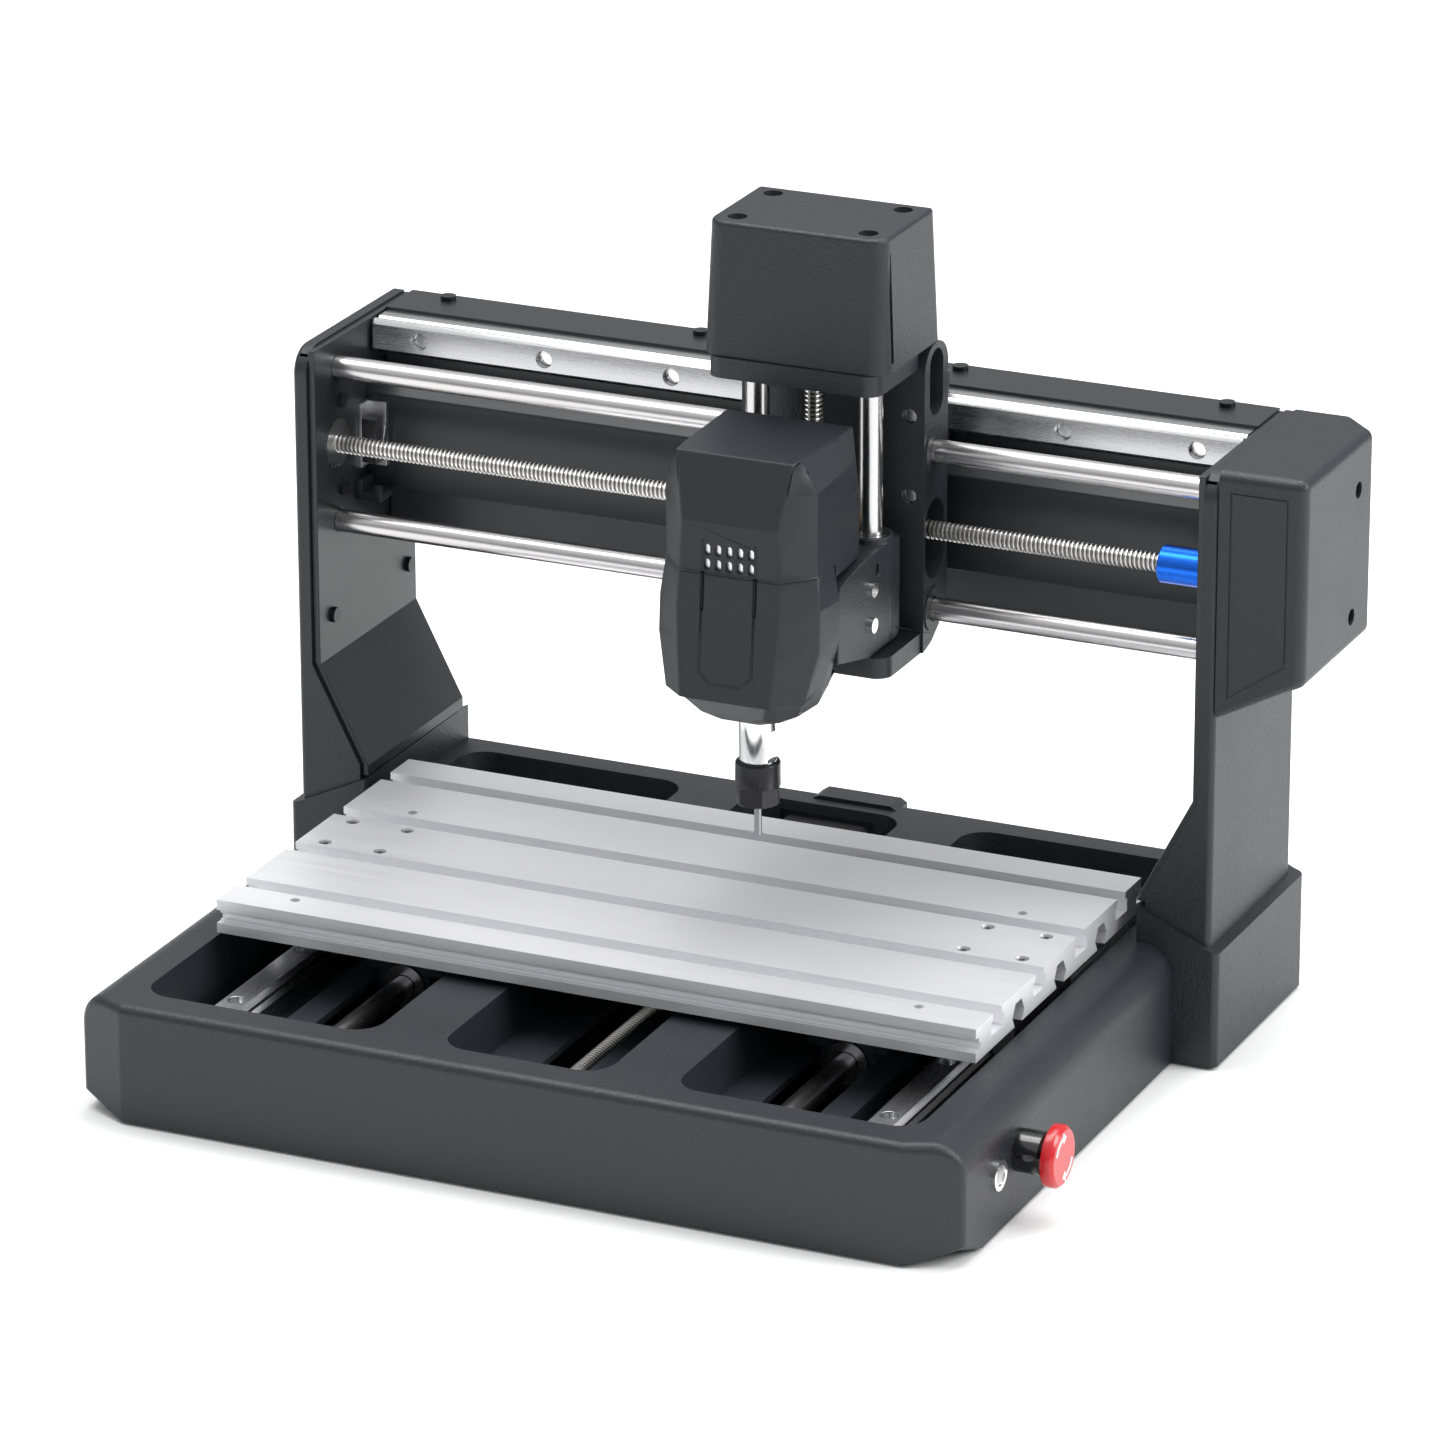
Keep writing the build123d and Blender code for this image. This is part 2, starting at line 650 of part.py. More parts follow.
# ---------------------------------------------------------------- beam
with BuildPart() as beam:
    with BuildSketch(Plane.YZ.offset(-leg_in)):
        outline(
            (beam_front, gantry_height),
            (beam_rear, gantry_height),
            (beam_rear, beam_low),
            (beam_front + 1.7, beam_low),
            (beam_front + 1.7, duct_low),
            (duct_front, duct_low),
            (duct_front, duct_top - 4),
            (duct_front + 4, duct_top),
            (beam_front, duct_top + 2.5),
        )
        with Locations(((beam_front + beam_rear) / 2 + 2, (gantry_height + beam_low) / 2)):
            Rectangle(beam_rear - beam_front - 9, gantry_height - beam_low - 8, mode=Mode.SUBTRACT)
    extrude(amount=2 * leg_in)
    for i in range(7):
        x = (i - 3) * rail_hole_pitch + 1.2
        round_y(x, beam_front - 1, beam_front + 9, x_rail_z, 2.0 + bore_gap, Mode.SUBTRACT)
save(beam, "beam")

rail_face = beam_front - rail_height
with BuildPart() as x_rail:
    with BuildSketch(Plane.YZ.offset(-leg_in + 1.3)):
        outline(
            (beam_front, x_rail_z - 7.5),
            (rail_face + 6.8, x_rail_z - 7.5),
            (rail_face + 5.0, x_rail_z - 5.7),
            (rail_face + 3.2, x_rail_z - 7.5),
            (rail_face + 2.0, x_rail_z - 7.5),
            (rail_face, x_rail_z - 5.5),
            (rail_face, x_rail_z + 5.5),
            (rail_face + 2.0, x_rail_z + 7.5),
            (rail_face + 3.2, x_rail_z + 7.5),
            (rail_face + 5.0, x_rail_z + 5.7),
            (rail_face + 6.8, x_rail_z + 7.5),
            (beam_front, x_rail_z + 7.5),
        )
    extrude(amount=2 * leg_in - 2.6)
    for i in range(7):
        x = (i - 3) * rail_hole_pitch + 1.2
        round_y(x, rail_face - 1, rail_face + 6, x_rail_z, 3.75, Mode.SUBTRACT)
        round_y(x, rail_face + 5, beam_front + 1, x_rail_z, 2.25, Mode.SUBTRACT)
save(x_rail, "x_rail")

with BuildPart() as rail_screws:
    for side in (-1, 1):
        for i in range(5):
            y = trough_front + 34.6 + rail_hole_pitch * i
            round_z(side * rail_x, y, rail_floor + 9.0, rail_floor + 12.0, 3.5)
            round_z(side * rail_x, y, rail_floor - wall, rail_floor + 9.0, 2.0)
    for i in range(7):
        x = (i - 3) * rail_hole_pitch + 1.2
        round_y(x, rail_face + 3.0, rail_face + 6, x_rail_z, 3.5)
        round_y(x, rail_face + 6, beam_front + 8.5, x_rail_z, 2.0)
save(rail_screws, "rail_screws")

under_spots = [(-60, base_front + 12), (60, base_front + 12), (-60, base_rear - 12), (60, base_rear - 12)]
plate_spots = [
    (table_depth + 1.4, 229.7),
    (table_depth + 1.4, 189.4),
    (table_depth + 63.3, 134.4),
    (table_depth - 9.2, 134.6),
]
with BuildPart() as button_screws:
    for x, y in under_spots:
        round_z(x, y, -0.6, 0.5, button_head)
    for side in (-1, 1):
        for y, z in plate_spots:
            round_x(side * (leg_in - button_height), side * leg_in, y, z, button_head)
        for x in (60.4, 181.2):
            round_z(side * x, beam_front + 19.5, gantry_height, gantry_height + button_height, button_head)
save(button_screws, "button_screws")

# ---------------------------------------------------------------- X axis rods, screw and motor
with BuildPart() as x_rods:
    for z in (x_screw_z - rod_rise, x_screw_z + rod_rise):
        round_x(-leg_in - plate_thickness - 1, leg_in + plate_thickness + 1, x_axis_y, z, rod_radius)
save(x_rods, "x_rods")

with BuildPart() as end_bearings:
    round_y(0, trough_front - wall, trough_front, y_screw_z, 11.0)
    round_y(0, trough_front - wall - 1, trough_front + 1, y_screw_z, screw_core + bore_gap, Mode.SUBTRACT)
    round_x(-leg_in - plate_thickness, -leg_in, x_axis_y, x_screw_z, 11.0)
    round_x(-leg_in - 5, -leg_in + 5, x_axis_y, x_screw_z, screw_core + bore_gap, Mode.SUBTRACT)
save(end_bearings, "end_bearings")

x_motor_face = leg_in + plate_thickness
x_coupler_left = 179.1
with BuildPart() as x_lead_screw:
    round_x(-leg_in - plate_thickness, -leg_in + 0.6, x_axis_y, x_screw_z, screw_core)
    round_x(-leg_in + 0.6, x_coupler_left + 8.8, x_axis_y, x_screw_z, screw_radius)
save(x_lead_screw, "x_lead_screw")

with BuildPart() as x_coupler:
    round_x(x_coupler_left, x_coupler_left + coupler_length, x_axis_y, x_screw_z, coupler_radius)
    chamfer(x_coupler.edges(), length=0.6)
    round_x(x_coupler_left - 1, x_coupler_left + 9, x_axis_y, x_screw_z, screw_radius, Mode.SUBTRACT)
    shaft_bore = motor_shaft + bore_gap
    round_x(x_coupler_left + 9, x_coupler_left + 21, x_axis_y, x_screw_z, shaft_bore, Mode.SUBTRACT)
save(x_coupler, "x_coupler")

with BuildPart() as axis_motors:
    side_half = motor_side / 2
    y_motor_rear = y_motor_front + motor_length
    block(-side_half, side_half, y_motor_front, y_motor_rear, y_screw_z - side_half, y_screw_z + side_half)
    chamfer(axis_motors.edges().filter_by(Axis.Y), length=3.0)
    round_y(0, y_motor_front - 2, y_motor_front, y_screw_z, 11.0)
    round_y(0, y_coupler_front + 10, y_motor_front - 2, y_screw_z, motor_shaft)
    x_motor_end = x_motor_face + motor_length
    x_motor_low = x_screw_z - side_half
    x_motor_front = x_axis_y - side_half
    block(x_motor_face, x_motor_end, x_motor_front, x_axis_y + side_half, x_motor_low, x_screw_z + side_half)
    chamfer(axis_motors.edges().filter_by(Axis.X).filter_by_position(Axis.Z, 180, 240), length=3.0)
    round_x(x_motor_face - 2, x_motor_face, x_axis_y, x_screw_z, 10.9)
    round_x(x_coupler_left + 10, x_motor_face - 2, x_axis_y, x_screw_z, motor_shaft)
save(axis_motors, "axis_motors")

cover_out = leg_out + 38.0
cover_front = leg_front
cover_rear = cover_front + 92.0
cover_top = 262.0
cover_spots = [(cover_front + 62.0, 240.0), (cover_front + 57.0, 186.0)]


def cover_profile(inset):
    """The motor cover seen from the front; its underside rises outwards."""
    outline(
        (leg_out, 154.0 + 1.4 * inset),
        (cover_out - inset, 173.5 + 1.2 * inset),
        (cover_out - inset, cover_top - inset),
        (leg_out, cover_top - inset),
    )


with BuildPart() as x_motor_cover:
    with BuildSketch(Plane.XZ.offset(-cover_front)):
        cover_profile(0)
    extrude(amount=-(cover_rear - cover_front))
    chamfer(x_motor_cover.edges().filter_by(Axis.Z).group_by(Axis.Y)[-1].sort_by(Axis.X)[-1], length=14.0)
    outer = [edge for edge in x_motor_cover.edges() if edge.center().X > leg_out + 0.5]
    fillet(outer, radius=4.5)
    # sunk panel line on the front
    with BuildSketch(Plane.XZ.offset(-cover_front)):
        inner_top = cover_top - 8
        outline((leg_out + 5, 164), (cover_out - 7.5, 181.5), (cover_out - 7.5, inner_top), (leg_out + 5, inner_top))
        outline(
            (leg_out + 6, 165.8),
            (cover_out - 8.5, 182.4),
            (cover_out - 8.5, cover_top - 9),
            (leg_out + 6, cover_top - 9),
            mode=Mode.SUBTRACT,
        )
    extrude(amount=-0.5, mode=Mode.SUBTRACT)
    with BuildSketch(Plane.XZ.offset(-cover_front - thin_wall)):
        cover_profile(thin_wall)
    extrude(amount=-(cover_rear - cover_front - 2 * thin_wall - 14), mode=Mode.SUBTRACT)
    for y, z in cover_spots:
        round_x(cover_out - 3.0, cover_out + 1, y, z, 3.6, Mode.SUBTRACT)
save(x_motor_cover, "x_motor_cover")

# ---------------------------------------------------------------- X limit switch
with BuildPart() as limit_bracket:
    block(-leg_in, -leg_in + 1.4, table_depth + 18, duct_front, 193.4, 222.3)
    block(-leg_in, -leg_in + 10, duct_front - 1.4, duct_front, 193.4, 222.3)
save(limit_bracket, "limit_bracket")

lever_y = duct_front - 4.7
with BuildPart() as limit_switch:
    block(-leg_in + 1.4, -leg_in + 8.4, duct_front - 8.0, duct_front - 1.4, 196.0, 216.0)
save(limit_switch, "limit_switch")

with BuildPart() as limit_lever:
    with BuildSketch(Plane.XZ.offset(-lever_y + 1.5)):
        outline(
            (-leg_in + 8.95, 197.0),
            (-leg_in + 9.45, 197.0),
            (-leg_in + 12.4, 214.0),
            (-leg_in + 11.9, 214.2),
        )
    extrude(amount=-3.0)
    round_y(-leg_in + 9.2, lever_y - 1.6, lever_y + 1.6, 197.2, 0.5)
save(limit_lever, "limit_lever")

with BuildPart() as cable_hook:
    block(-leg_in, -leg_in + 12, duct_front - 12, duct_front, 180.2, 183.4)
    block(-leg_in, -leg_in + 3.2, duct_front - 12, duct_front, 183.4, 189.0)
    block(-leg_in + 9, -leg_in + 12, duct_front - 12, duct_front - 9, 183.4, 187.0)
save(cable_hook, "cable_hook")

# ---------------------------------------------------------------- X carriage
cx = carriage_x
cl = cx - carriage_half
cr = cx + carriage_half
shelf_front = table_depth - 49.0
with BuildPart() as carriage_frame:
    # tall back block on the rods
    with BuildSketch(Plane.YZ.offset(cl)):
        outline(
            (carriage_front, shelf_low),
            (carriage_front + 9, shelf_low + 2.4),
            (carriage_rear, 172.0),
            (carriage_rear, yoke_top),
            (carriage_front, yoke_top),
        )
    extrude(amount=2 * carriage_half)
    back_edges = carriage_frame.edges().filter_by(Axis.X)
    fillet(back_edges.sort_by(Axis.Z)[-2:], radius=12.0)
    fillet(back_edges.group_by(Axis.Z)[1], radius=9.0)
    fillet(back_edges.group_by(Axis.Z)[2], radius=9.0)
    # shelf that carries the feet of the Z rods and the lower screw bearing
    block(cl + 1, cr - 1, shelf_front, carriage_front, shelf_low, shelf_top)
    # yoke that carries the Z motor
    block(cx - 38.5, cx + 38.5, yoke_front, carriage_front, yoke_low, yoke_top)
    for edge_group in (
        carriage_frame.edges().filter_by(Axis.Z).group_by(Axis.Y)[0],
        carriage_frame.edges().filter_by(Axis.Z).filter_by_position(Axis.Y, shelf_front - 1, shelf_front + 1),
    ):
        fillet(edge_group, radius=7.0)
    for z in (x_screw_z - rod_rise, x_screw_z + rod_rise):
        round_x(cl - 1, cr + 1, x_axis_y, z, bearing_radius, Mode.SUBTRACT)
    # oval openings around the lead screw, up to the web that carries the nut
    for x0, x1 in ((cl - 1, cx - 12), (cx - 5, cr + 1)):
        with BuildSketch(Plane.YZ.offset(x0)):
            with Locations((x_axis_y + 1, x_screw_z - 4)):
                SlotOverall(35.0, 20.0, rotation=90)
        extrude(amount=x1 - x0, mode=Mode.SUBTRACT)
    round_x(cx - 13, cx - 4, x_axis_y, x_screw_z, nut_body, Mode.SUBTRACT)
    # oblong pockets in the sides near the top
    for x0, x1 in ((cl - 1, cl + 12), (cr - 12, cr + 1)):
        with BuildSketch(Plane.YZ.offset(x0)):
            with Locations((table_depth + 0.5, 275.0)):
                SlotOverall(29.0, 14.0, rotation=90)
        extrude(amount=x1 - x0, mode=Mode.SUBTRACT)
    # seats for the Z rods and the screw
    for x in (cx - z_rod_x, cx + z_rod_x):
        round_z(x, z_axis_y, shelf_low + 3, shelf_top + 1, rod_radius, Mode.SUBTRACT)
        round_z(x, z_axis_y, yoke_low - 1, yoke_top - 2.6, rod_radius, Mode.SUBTRACT)
    round_z(cx, z_axis_y, shelf_low + 3, shelf_top + 1, 8.0, Mode.SUBTRACT)
    round_z(cx, z_axis_y, yoke_low - 1, yoke_top + 1, 11.0 + bore_gap, Mode.SUBTRACT)
    # front face: holes beside the Z rods
    for x in (cx - 34.6, cx + 34.6):
        for z in (262.6, 227.8):
            round_y(x, carriage_front - 1, carriage_front + 5, z, 3.3, Mode.SUBTRACT)
save(carriage_frame, "carriage_frame")

with BuildPart() as carriage_bearings:
    for z in (x_screw_z - rod_rise, x_screw_z + rod_rise):
        for x0 in (cl - 0.6, cr + 0.6 - bearing_length):
            round_x(x0, x0 + bearing_length, x_axis_y, z, bearing_radius)
            round_x(x0 - 1, x0 + bearing_length + 1, x_axis_y, z, rod_radius + slide_gap, Mode.SUBTRACT)
    round_z(cx, z_axis_y, shelf_low + 3, shelf_top, 8.0)
    round_z(cx, z_axis_y, shelf_low + 2, shelf_top + 1, screw_core + bore_gap, Mode.SUBTRACT)
save(carriage_bearings, "carriage_bearings")

with BuildPart() as x_nut:
    round_x(cx - 5, cx - 1.5, x_axis_y, x_screw_z, nut_flange)
    round_x(cx - 16, cx - 5, x_axis_y, x_screw_z, nut_body)
    round_x(cx - 18, cx, x_axis_y, x_screw_z, screw_radius + slide_gap, Mode.SUBTRACT)
save(x_nut, "x_nut")

block_face = beam_front - 28.0
with BuildPart() as slider_plate:
    block(cx - 35, cx + 35, carriage_rear, block_face, 227.0, 270.0)
save(slider_plate, "slider_plate")

with BuildPart() as rail_slider:
    slider_half = block_length / 2
    block(cx - slider_half, cx + slider_half, block_face, beam_front - 4.3, x_rail_z - 17, x_rail_z + 17)
    block(
        cx - 40,
        cx + 40,
        rail_face - slide_gap,
        beam_front,
        x_rail_z - 7.5 - slide_gap,
        x_rail_z + 7.5 + slide_gap,
        Mode.SUBTRACT,
    )
save(rail_slider, "rail_slider")

# ---------------------------------------------------------------- Z motor and its housing
with BuildPart() as z_motor:
    block(cx - 21, cx + 21, z_axis_y - 21, z_axis_y + 21, yoke_top, yoke_top + motor_length)
    chamfer(z_motor.edges().filter_by(Axis.Z), length=3.0)
    round_z(cx, z_axis_y, yoke_top - 2, yoke_top, 11.0)
    round_z(cx, z_axis_y, yoke_top - 14, yoke_top - 2, motor_shaft)
save(z_motor, "z_motor")

housing_front = yoke_front + 1.5
housing_rear = table_depth + 8.0
housing_spots = [(cx + dx, y) for dx in (-29.3, 29.3) for y in (table_depth - 43.2, table_depth - 7.3)]
with BuildPart() as z_motor_housing:
    with BuildSketch(Plane.XY.offset(yoke_top + 0.3)):
        with Locations((cx, (housing_front + housing_rear) / 2)):
            Rectangle(2 * carriage_half, housing_rear - housing_front)
    extrude(amount=housing_top - yoke_top - 0.3, taper=2.0)
    upright = [
        edge for edge in z_motor_housing.edges() if abs(edge.center().Z - (yoke_top + housing_top) / 2) < 4
    ]
    fillet(upright, radius=8.0)
    with BuildSketch(Plane.YZ.offset(cl - 5)):
        outline(
            (table_depth + 1.5, housing_top + 1),
            (table_depth + 1.5, 324.0),
            (table_depth + 12, 315.0),
            (table_depth + 12, housing_top + 1),
        )
    extrude(amount=2 * carriage_half + 10, mode=Mode.SUBTRACT)
    fillet(z_motor_housing.faces().sort_by(Axis.Z)[-1].edges(), radius=2.0)
    room = motor_side / 2 + 0.3
    room_top = yoke_top + motor_length + 4
    block(cx - room, cx + room, z_axis_y - room, z_axis_y + room, yoke_top - 1, room_top, Mode.SUBTRACT)
    for x, y in housing_spots:
        round_z(x, y, housing_top - 6, housing_top + 1, 4.1, Mode.SUBTRACT)
    # narrow sunk strips down both sides, near the front
    for x0, x1 in ((cl - 5, cl + 1.9), (cr - 1.9, cr + 5)):
        block(x0, x1, table_depth - 46.8, table_depth - 44.4, yoke_top + 4, 343.0, Mode.SUBTRACT)
save(z_motor_housing, "z_motor_housing")

with BuildPart() as carriage_screws:
    for x0, x1 in ((cl + 9, cl + 12), (cr - 12, cr - 9)):
        round_x(x0, x1, table_depth + 0.5, 270.5, 3.0)
    for x in (cx - 34.6, cx + 34.6):
        for z in (262.6, 227.8):
            round_y(x, carriage_front + 2.2, carriage_front + 5, z, 3.0)
    for x, y in housing_spots:
        round_z(x, y, housing_top - 6, housing_top - 3, 3.4)
save(carriage_screws, "carriage_screws")

with BuildPart() as z_rods:
    for x in (cx - z_rod_x, cx + z_rod_x):
        round_z(x, z_axis_y, shelf_low + 3, yoke_top - 2.6, rod_radius)
save(z_rods, "z_rods")

# the screw's upper end is bored for the motor shaft and clamped by a collar inside the yoke
screw_end = yoke_top - 2.6
with BuildPart() as z_lead_screw:
    round_z(cx, z_axis_y, shelf_low + 3.2, shelf_top + 0.4, screw_core)
    round_z(cx, z_axis_y, shelf_top + 0.4, screw_end, screw_radius)
    round_z(cx, z_axis_y, yoke_top - 16.0, screw_end + 1, motor_shaft + bore_gap, Mode.SUBTRACT)
save(z_lead_screw, "z_lead_screw")

with BuildPart() as z_coupler:
    round_z(cx, z_axis_y, yoke_low + 0.4, screw_end, coupler_radius)
    round_z(cx, z_axis_y, yoke_low - 1, screw_end + 1, screw_radius, Mode.SUBTRACT)
save(z_coupler, "z_coupler")

# ---------------------------------------------------------------- Z carriage and spindle
with BuildPart() as z_carriage:
    with BuildSketch(Plane.YZ.offset(cx - z_block_half)):
        outline(
            (spindle_y + 2.5, 177.7),
            (table_depth - 54.0, z_block_low),
            (z_block_rear - 3, z_block_low),
            (z_block_rear, z_block_low + 3),
            (z_block_rear, z_block_top),
            (table_depth - 58.0, z_block_top),
            (table_depth - 66.0, 213.0),
            (spindle_y + 6.0, 210.4),
            (spindle_y + 2.5, 207.0),
        )
    extrude(amount=2 * z_block_half)
    for x in (cx - z_rod_x, cx + z_rod_x):
        round_z(x, z_axis_y, z_block_low, collar_top, 9.5)
        round_z(x, z_axis_y, z_block_low - 1, collar_top + 1, bearing_radius - 2.0, Mode.SUBTRACT)
    for x0, x1 in ((cx - z_block_half - 1, cx - z_block_half + 3), (cx + z_block_half - 3, cx + z_block_half + 1)):
        with BuildSketch(Plane.YZ.offset(x0)):
            with Locations((table_depth - 44.6, 205.7)):
                SlotOverall(6.0, 3.6, rotation=90)
        extrude(amount=x1 - x0, mode=Mode.SUBTRACT)
    round_z(cx, spindle_y, z_block_low - 10, collar_top + 10, spindle_radius + bore_gap, Mode.SUBTRACT)
    round_z(cx, z_axis_y, z_block_low - 1, collar_top + 1, nut_body, Mode.SUBTRACT)
save(z_carriage, "z_carriage")

with BuildPart() as z_bearings:
    for x in (cx - z_rod_x, cx + z_rod_x):
        for z0, z1 in ((z_block_low, z_block_low + 20), (collar_top - 20, collar_top)):
            round_z(x, z_axis_y, z0, z1, bearing_radius - 2.0)
            round_z(x, z_axis_y, z0 - 1, z1 + 1, rod_radius + slide_gap, Mode.SUBTRACT)
save(z_bearings, "z_bearings")

with BuildPart() as z_nut:
    round_z(cx, z_axis_y, z_block_top, z_block_top + 3.5, nut_flange)
    round_z(cx, z_axis_y, z_block_top - 12, z_block_top, nut_body)
    round_z(cx, z_axis_y, z_block_top - 14, z_block_top + 5, screw_radius + slide_gap, Mode.SUBTRACT)
save(z_nut, "z_nut")

with BuildPart() as bracket_screws:
    for side in (-1, 1):
        for z in (199.4, 183.8):
            round_x(cx + side * z_block_half, cx + side * (z_block_half + 1.8), table_depth - 52.0, z, 3.2)
save(bracket_screws, "bracket_screws")

motor_low = 160.5
bowl_bottom = 154.0
panel = 12.2
motor_high = 262.0
with BuildPart() as spindle_motor:
    round_z(cx, spindle_y, motor_low, motor_high, spindle_radius)
    chamfer(spindle_motor.edges(), length=1.0)
    round_z(cx, spindle_y, motor_low - 1, motor_low + 4, nose_radius + slide_gap, Mode.SUBTRACT)
save(spindle_motor, "spindle_motor")

cover_back = 32.3  # rear of the cover behind the spindle axis
cover_high = 271.0
body_join = 214.0
body_low = 168.0


def ring(height, *points):
    """The cover's outline at one height: (half width, distance behind the spindle axis) down its right half."""
    right = [(cx + x, spindle_y + y) for x, y in points]
    left = [(cx - x, spindle_y + y) for x, y in reversed(points)]
    with BuildSketch(Plane.XY.offset(height)) as level:
        outline(*right, *left)
    return level.sketch


with BuildPart() as spindle_cover:
    upper = [
        ring(body_join - 8, (22.4, -29.5), (34.0, -16.5), (31.5, cover_back)),
        ring(243.0, (21.4, -28.5), (34.0, -16.5), (31.5, cover_back)),
        ring(257.0, (23.8, -25.9), (34.0, -16.0), (30.0, cover_back)),
        ring(cover_high, (26.0, -23.5), (27.0, -15.5), (28.5, cover_back)),
    ]
    for low, high in zip(upper, upper[1:]):
        loft([low, high], ruled=True)
    # wider lower body in front of the bracket's arms, with a sloping shoulder
    lower_back = 2.2
    lower = [
        ring(body_low, (20.0, -34.5), (30.5, -25.0), (31.0, lower_back)),
        ring(190.0, (22.0, -32.2), (36.0, -19.5), (36.0, lower_back)),
        ring(body_join - 8, (23.0, -30.5), (36.0, -18.3), (36.0, lower_back)),
        ring(221.5, (22.0, -29.2), (34.1, -16.5), (33.4, lower_back)),
    ]
    for low, high in zip(lower, lower[1:]):
        loft([low, high], ruled=True)
    # bowl around the shaft
    bowl = [
        ring(body_low, (18.6, -33.1), (29.0, -23.7), (29.6, lower_back), (26.0, 20.5), (15.0, 29.5)),
        ring(159.5, (14.0, -25.5), (25.0, -15.5), (26.5, lower_back), (23.0, 16.5), (13.0, 24.5)),
        ring(bowl_bottom, (8.0, -17.5), (15.0, -11.5), (17.5, lower_back), (15.0, 11.5), (8.0, 17.5)),
    ]
    for high, low in zip(bowl, bowl[1:]):
        loft([low, high], ruled=True)
    # room for the spindle motor
    round_z(cx, spindle_y, motor_low, cover_high - 4, spindle_radius + 0.6, Mode.SUBTRACT)
    round_z(cx, spindle_y, bowl_bottom - 1, motor_low + 1, nose_radius + 1.0, Mode.SUBTRACT)
    arms_front = spindle_y + lower_back
    block(cx - 40, cx + 40, arms_front, arms_front + 50, body_low, body_join + 0.5, Mode.SUBTRACT)
    # sunk panel line on the front, in the lower and the upper plane of the face
    lower_face = Plane(origin=(cx, spindle_y - 34.5, body_low), x_dir=(1, 0, 0), z_dir=(0, -38.0, 4.0))
    middle_face = Plane(origin=(cx, spindle_y - 30.5, body_join - 8), x_dir=(1, 0, 0), z_dir=(0, -15.5, 1.3))
    upper_face = Plane(origin=(cx, spindle_y - 29.08, 221.5), x_dir=(1, 0, 0), z_dir=(0, -37.0, 1.0))
    with BuildSketch(lower_face):
        outline(
            (-panel, 38.5),
            (-panel, 12.0),
            (-panel + 5, 7.0),
            (panel - 5, 7.0),
            (panel, 12.0),
            (panel, 38.5),
        )
        outline(
            (-panel + 0.9, 39.0),
            (-panel + 0.9, 12.4),
            (-panel + 5.4, 7.9),
            (panel - 5.4, 7.9),
            (panel - 0.9, 12.4),
            (panel - 0.9, 39.0),
            mode=Mode.SUBTRACT,
        )
    extrude(amount=-0.6, mode=Mode.SUBTRACT)
    for face, height in ((middle_face, 15.9), (upper_face, 14.5)):
        with BuildSketch(face):
            with Locations((-panel + 0.45, height / 2 - 0.3), (panel - 0.45, height / 2 - 0.3)):
                Rectangle(0.9, height)
        extrude(amount=-0.6, mode=Mode.SUBTRACT)
    for i in range(5):
        for z in (225.3, 231.6):
            with BuildSketch(Plane.XZ.offset(31.5 - spindle_y)):
                with Locations((cx + (i - 2) * 4.9, z)):
                    SlotOverall(4.2, 2.2, rotation=90)
            extrude(amount=-12.0, mode=Mode.SUBTRACT)
save(spindle_cover, "spindle_cover")

with BuildPart() as spindle_shaft:
    round_z(cx, spindle_y, nut_top, motor_low + 3.6, nose_radius)
    for x0, x1 in ((cx - 9, cx - 6.5), (cx + 6.5, cx + 9)):
        block(x0, x1, spindle_y - 9, spindle_y + 9, nut_top + 0.7, nut_top + 14, Mode.SUBTRACT)
save(spindle_shaft, "spindle_shaft")

with BuildPart() as collet_nut:
    round_z(cx, spindle_y, nut_low, nut_top, nut_radius)
    chamfer(collet_nut.edges(), length=0.8)
    with BuildSketch(Plane.XY.offset(nut_low - 1)):
        with Locations((cx, spindle_y)):
            Circle(12)
            RegularPolygon(8.6, 6, major_radius=False, mode=Mode.SUBTRACT)
    extrude(amount=9.0, mode=Mode.SUBTRACT)
    round_z(cx, spindle_y, nut_low - 1, nut_top + 1, 4.0, Mode.SUBTRACT)
save(collet_nut, "collet_nut")

with BuildPart() as collet:
    round_z(cx, spindle_y, nut_low - 0.6, nut_top, 4.0)
    round_z(cx, spindle_y, nut_low - 1, nut_top + 1, tool_radius, Mode.SUBTRACT)
save(collet, "collet")

with BuildPart() as end_mill:
    round_z(cx, spindle_y, tip_z, nut_top, tool_radius)
save(end_mill, "end_mill")
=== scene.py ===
import math

import bmesh
import bpy
from mathutils import Matrix, Vector


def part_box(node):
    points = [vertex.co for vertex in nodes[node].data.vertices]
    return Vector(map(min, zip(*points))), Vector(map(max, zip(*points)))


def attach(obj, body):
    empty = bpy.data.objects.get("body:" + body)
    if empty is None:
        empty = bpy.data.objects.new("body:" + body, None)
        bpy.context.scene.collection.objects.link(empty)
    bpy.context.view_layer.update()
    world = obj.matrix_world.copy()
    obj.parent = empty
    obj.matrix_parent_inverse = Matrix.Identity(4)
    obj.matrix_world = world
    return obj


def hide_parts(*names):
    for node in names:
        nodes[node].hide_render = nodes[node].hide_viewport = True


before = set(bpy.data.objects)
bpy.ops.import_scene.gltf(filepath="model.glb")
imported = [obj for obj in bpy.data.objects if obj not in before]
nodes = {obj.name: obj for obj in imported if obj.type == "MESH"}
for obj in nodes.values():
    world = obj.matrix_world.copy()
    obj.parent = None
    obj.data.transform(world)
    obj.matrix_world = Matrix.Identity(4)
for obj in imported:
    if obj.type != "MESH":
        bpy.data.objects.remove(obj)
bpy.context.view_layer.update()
print("frame loaded:", len(nodes), "nodes")

# the row frame's origin is the middle of the footprint; drawings below count from the table's
# centre line (x), its front edge (y) and the underside of the base (z), in millimetres
shift = Vector((-16.8, -90.35, 1.5))


def at(x, y, z):
    return (Vector((x, y, z)) + shift) / 1000


